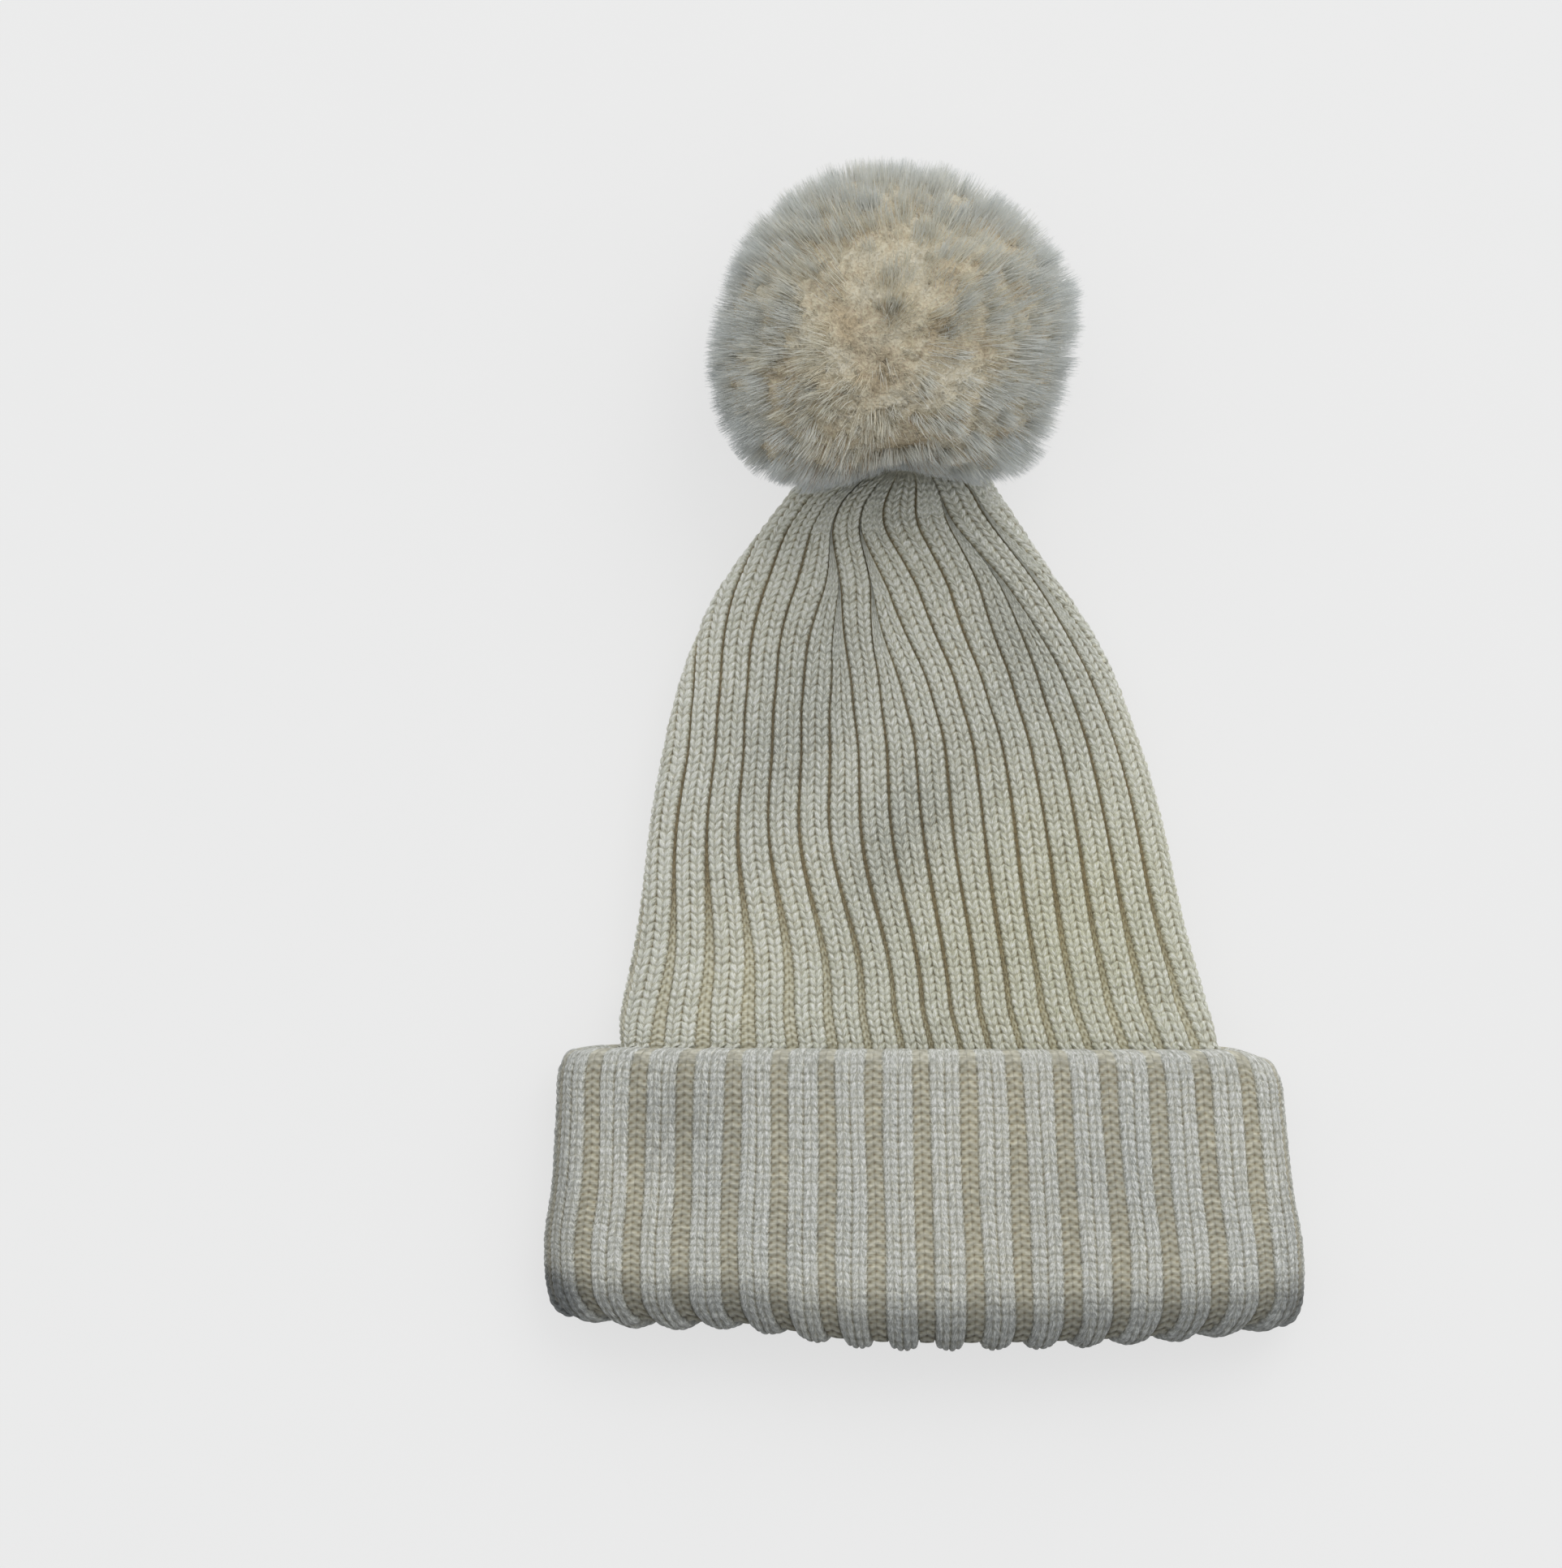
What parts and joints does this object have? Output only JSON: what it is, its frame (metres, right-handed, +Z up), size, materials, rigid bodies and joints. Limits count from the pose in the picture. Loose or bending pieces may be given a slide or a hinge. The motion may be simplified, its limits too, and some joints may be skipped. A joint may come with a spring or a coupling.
{
  "type": "pom pom beanie",
  "caption": "Ribbed knit beanie lying flat, with a deep turn-up cuff, a shaped crown and a detachable faux-fur pom.",
  "frame": {"origin": "on the surface the hat lies on, under the middle of its whole length and width", "axes": "+X across the hat, +Y from the head opening to the pom, +Z up from the surface with the front of the hat facing up"},
  "size_m": [0.206, 0.3252, 0.0919],
  "materials": {
    "body_knit": "matt acrylic rib knit, ivory",
    "cuff_knit": "matt acrylic rib knit, ivory",
    "thread": "matt yarn, ivory",
    "label": "smooth woven satin, white, blank",
    "felt": "matt needle felt",
    "snap_metal": "nickel-plated pressed brass, satin",
    "spring_steel": "bright spring wire",
    "washer_plastic": "natural nylon",
    "fur_backing": "knitted faux-fur backing",
    "stuffing": "polyester fibre fill",
    "fur": "long soft faux-fur pile, warm at the roots"
  },
  "bodies": {
    "hat": {"knit_body": "body_knit", "back_seam": "thread", "care_label": "label"},
    "cuff": {"turn_up_cuff": "cuff_knit"},
    "crown_tip": {"crown_gather": "body_knit", "crown_draw_thread": "thread", "crown_patch": "felt", "snap_eyelet": "snap_metal", "snap_stud": "snap_metal"},
    "snap": {"snap_socket": "snap_metal", "socket_spring": "spring_steel", "snap_cap": "snap_metal"},
    "pom": {"pom_washer": "washer_plastic", "pom_backing": "fur_backing", "pom_stuffing": "stuffing", "pom_fur": "fur", "pom_draw_thread": "thread"}
  },
  "joints": [
    {"name": "cuff_turn_down", "type": "slide", "parent": "hat", "child": "cuff", "axis": [0, -1, 0], "range_m": [0, 0.07]},
    {"name": "pom_flop", "type": "hinge", "parent": "hat", "child": "crown_tip", "pos_m": [0, 0.082, 0.01781], "axis": [1, 0, 0], "range_deg": [-20, 20]},
    {"name": "pom_unsnap", "type": "slide", "parent": "crown_tip", "child": "snap", "axis": [0, 0.788, 0.6157], "range_m": [0, 0.03]},
    {"name": "pom_spin", "type": "hinge", "parent": "snap", "child": "pom", "pos_m": [0, 0.08338, 0.01889], "axis": [0, 0.788, 0.6157], "continuous": true}
  ]
}
